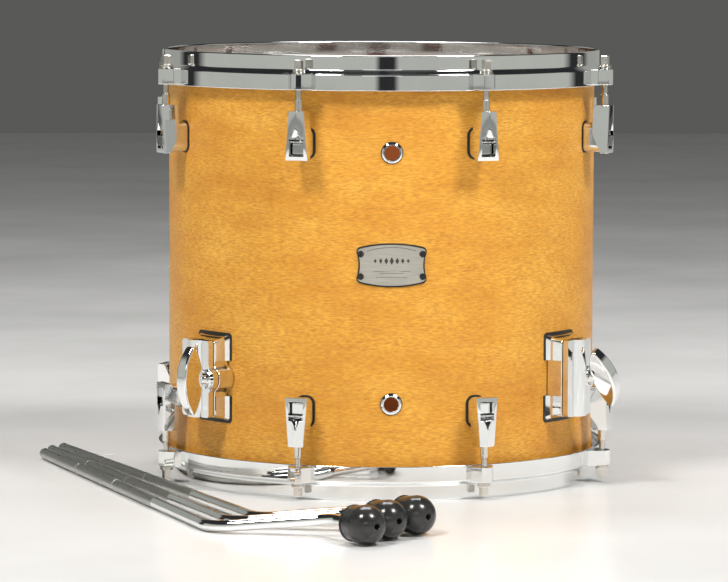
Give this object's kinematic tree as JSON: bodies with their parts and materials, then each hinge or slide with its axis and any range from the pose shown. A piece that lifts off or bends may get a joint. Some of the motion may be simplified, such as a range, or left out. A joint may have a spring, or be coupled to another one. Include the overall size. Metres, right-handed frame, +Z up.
{
  "type": "tom tom drum",
  "caption": "Amber wood floor tom with chrome hoops, hook lugs, turning tension rods, clamping leg brackets with wing bolts, and its bent legs lying loose in front.",
  "frame": {"origin": "on the drum's axis, in the plane of the lower hoop's rim, which is the floor", "axes": "+Z up along the drum's axis towards the batter head; the badge faces -Y"},
  "size_m": [0.5457, 0.7394, 0.405],
  "materials": {
    "lacquered_wood": "amber stained maple under satin gloss lacquer",
    "clear_film": "clear polyester drum head film",
    "ring_aluminium": "plain rolled aluminium",
    "chrome": "bright chrome plate",
    "zinc_steel": "zinc plated steel",
    "rod_steel": "nickel plated steel with rolled threads",
    "leg_chrome": "chrome plated steel rod, knurled over its upper part",
    "badge_metal": "brushed silver plate",
    "black_gasket": "thin black gasket rubber",
    "black_screw": "black lacquered screw heads",
    "foot_rubber": "moulded black rubber"
  },
  "bodies": {
    "root": {"shell": "lacquered_wood", "batter_head": "clear_film", "resonant_head": "clear_film", "batter_head_ring": "ring_aluminium", "resonant_head_ring": "ring_aluminium", "badge_plate": "badge_metal", "badge_gasket": "black_gasket", "badge_screws": "black_screw", "lug_gaskets": "black_gasket", "bracket_gaskets": "black_gasket", "vent_gaskets": "black_gasket", "batter_hoop": "chrome", "resonant_hoop": "chrome", "batter_lugs": "chrome", "resonant_lugs": "chrome", "batter_lug_hooks": "chrome", "resonant_lug_hooks": "chrome", "vent_grommet_upper": "chrome", "vent_grommet_lower": "chrome", "leg_bracket_left": "chrome", "leg_bracket_right": "chrome", "leg_bracket_rear": "chrome", "lug_screws": "zinc_steel", "lug_screw_washers": "zinc_steel", "bracket_screws": "zinc_steel", "bracket_washers": "zinc_steel", "batter_rod_washers": "zinc_steel", "resonant_rod_washers": "zinc_steel", "batter_swivel_nuts": "rod_steel", "resonant_swivel_nuts": "rod_steel"},
    "batter_tension_rod_1": {"batter_tension_rod_1": "rod_steel"},
    "batter_tension_rod_2": {"batter_tension_rod_2": "rod_steel"},
    "batter_tension_rod_3": {"batter_tension_rod_3": "rod_steel"},
    "batter_tension_rod_4": {"batter_tension_rod_4": "rod_steel"},
    "batter_tension_rod_5": {"batter_tension_rod_5": "rod_steel"},
    "batter_tension_rod_6": {"batter_tension_rod_6": "rod_steel"},
    "batter_tension_rod_7": {"batter_tension_rod_7": "rod_steel"},
    "batter_tension_rod_8": {"batter_tension_rod_8": "rod_steel"},
    "resonant_tension_rod_1": {"resonant_tension_rod_1": "rod_steel"},
    "resonant_tension_rod_2": {"resonant_tension_rod_2": "rod_steel"},
    "resonant_tension_rod_3": {"resonant_tension_rod_3": "rod_steel"},
    "resonant_tension_rod_4": {"resonant_tension_rod_4": "rod_steel"},
    "resonant_tension_rod_5": {"resonant_tension_rod_5": "rod_steel"},
    "resonant_tension_rod_6": {"resonant_tension_rod_6": "rod_steel"},
    "resonant_tension_rod_7": {"resonant_tension_rod_7": "rod_steel"},
    "resonant_tension_rod_8": {"resonant_tension_rod_8": "rod_steel"},
    "bracket_jaw_left": {"bracket_jaw_left": "chrome"},
    "wing_bolt_left": {"wing_bolt_left": "chrome"},
    "bracket_jaw_right": {"bracket_jaw_right": "chrome"},
    "wing_bolt_right": {"wing_bolt_right": "chrome"},
    "bracket_jaw_rear": {"bracket_jaw_rear": "chrome"},
    "wing_bolt_rear": {"wing_bolt_rear": "chrome"},
    "leg_front": {"leg_front": "leg_chrome", "leg_foot_front": "foot_rubber"},
    "leg_middle": {"leg_middle": "leg_chrome", "leg_foot_middle": "foot_rubber"},
    "leg_back": {"leg_back": "leg_chrome", "leg_foot_back": "foot_rubber"}
  },
  "joints": [
    {"name": "batter_rod_1_turn", "type": "hinge", "parent": "root", "child": "batter_tension_rod_1", "pos_m": [0.20464, 0.08476, 0.398], "axis": [0, 0, 1], "range_deg": [-360, 360]},
    {"name": "batter_rod_2_turn", "type": "hinge", "parent": "root", "child": "batter_tension_rod_2", "pos_m": [0.08476, 0.20464, 0.398], "axis": [0, 0, 1], "range_deg": [-360, 360]},
    {"name": "batter_rod_3_turn", "type": "hinge", "parent": "root", "child": "batter_tension_rod_3", "pos_m": [-0.08476, 0.20464, 0.398], "axis": [0, 0, 1], "range_deg": [-360, 360]},
    {"name": "batter_rod_4_turn", "type": "hinge", "parent": "root", "child": "batter_tension_rod_4", "pos_m": [-0.20464, 0.08476, 0.398], "axis": [0, 0, 1], "range_deg": [-360, 360]},
    {"name": "batter_rod_5_turn", "type": "hinge", "parent": "root", "child": "batter_tension_rod_5", "pos_m": [-0.20464, -0.08476, 0.398], "axis": [0, 0, 1], "range_deg": [-360, 360]},
    {"name": "batter_rod_6_turn", "type": "hinge", "parent": "root", "child": "batter_tension_rod_6", "pos_m": [-0.08476, -0.20464, 0.398], "axis": [0, 0, 1], "range_deg": [-360, 360]},
    {"name": "batter_rod_7_turn", "type": "hinge", "parent": "root", "child": "batter_tension_rod_7", "pos_m": [0.08476, -0.20464, 0.398], "axis": [0, 0, 1], "range_deg": [-360, 360]},
    {"name": "batter_rod_8_turn", "type": "hinge", "parent": "root", "child": "batter_tension_rod_8", "pos_m": [0.20464, -0.08476, 0.398], "axis": [0, 0, 1], "range_deg": [-360, 360]},
    {"name": "resonant_rod_1_turn", "type": "hinge", "parent": "root", "child": "resonant_tension_rod_1", "pos_m": [0.20464, 0.08476, 0.007], "axis": [0, 0, -1], "range_deg": [-360, 360]},
    {"name": "resonant_rod_2_turn", "type": "hinge", "parent": "root", "child": "resonant_tension_rod_2", "pos_m": [0.08476, 0.20464, 0.007], "axis": [0, 0, -1], "range_deg": [-360, 360]},
    {"name": "resonant_rod_3_turn", "type": "hinge", "parent": "root", "child": "resonant_tension_rod_3", "pos_m": [-0.08476, 0.20464, 0.007], "axis": [0, 0, -1], "range_deg": [-360, 360]},
    {"name": "resonant_rod_4_turn", "type": "hinge", "parent": "root", "child": "resonant_tension_rod_4", "pos_m": [-0.20464, 0.08476, 0.007], "axis": [0, 0, -1], "range_deg": [-360, 360]},
    {"name": "resonant_rod_5_turn", "type": "hinge", "parent": "root", "child": "resonant_tension_rod_5", "pos_m": [-0.20464, -0.08476, 0.007], "axis": [0, 0, -1], "range_deg": [-360, 360]},
    {"name": "resonant_rod_6_turn", "type": "hinge", "parent": "root", "child": "resonant_tension_rod_6", "pos_m": [-0.08476, -0.20464, 0.007], "axis": [0, 0, -1], "range_deg": [-360, 360]},
    {"name": "resonant_rod_7_turn", "type": "hinge", "parent": "root", "child": "resonant_tension_rod_7", "pos_m": [0.08476, -0.20464, 0.007], "axis": [0, 0, -1], "range_deg": [-360, 360]},
    {"name": "resonant_rod_8_turn", "type": "hinge", "parent": "root", "child": "resonant_tension_rod_8", "pos_m": [0.20464, -0.08476, 0.007], "axis": [0, 0, -1], "range_deg": [-360, 360]},
    {"name": "jaw_left_slide", "type": "slide", "parent": "root", "child": "bracket_jaw_left", "axis": [-0.7912, -0.6115, 0], "range_m": [0, 0.0025]},
    {"name": "wing_left_turn", "type": "hinge", "parent": "bracket_jaw_left", "child": "wing_bolt_left", "pos_m": [-0.17646, -0.15597, 0.1051], "axis": [-0.7912, -0.6115, 0], "range_deg": [0, 720]},
    {"name": "jaw_right_slide", "type": "slide", "parent": "root", "child": "bracket_jaw_right", "axis": [0.7912, -0.6115, 0], "range_m": [0, 0.0025]},
    {"name": "wing_right_turn", "type": "hinge", "parent": "bracket_jaw_right", "child": "wing_bolt_right", "pos_m": [0.19542, -0.13145, 0.1051], "axis": [0.7912, -0.6115, 0], "range_deg": [0, 720]},
    {"name": "jaw_rear_slide", "type": "slide", "parent": "root", "child": "bracket_jaw_rear", "axis": [0, 1, 0], "range_m": [0, 0.0025]},
    {"name": "wing_rear_turn", "type": "hinge", "parent": "bracket_jaw_rear", "child": "wing_bolt_rear", "pos_m": [-0.0155, 0.235, 0.1051], "axis": [0, 1, 0], "range_deg": [0, 720]},
    {"name": "leg_front_lift", "type": "slide", "parent": "root", "child": "leg_front", "axis": [0, 0, 1], "range_m": [0, 0.05]},
    {"name": "leg_middle_lift", "type": "slide", "parent": "root", "child": "leg_middle", "axis": [0, 0, 1], "range_m": [0, 0.05]},
    {"name": "leg_back_lift", "type": "slide", "parent": "root", "child": "leg_back", "axis": [0, 0, 1], "range_m": [0, 0.05]}
  ],
  "couplings": [
    {"joint": "wing_left_turn", "follows": "jaw_left_slide", "rad_per_m": 5026.5},
    {"joint": "wing_right_turn", "follows": "jaw_right_slide", "rad_per_m": 5026.5},
    {"joint": "wing_rear_turn", "follows": "jaw_rear_slide", "rad_per_m": 5026.5}
  ]
}
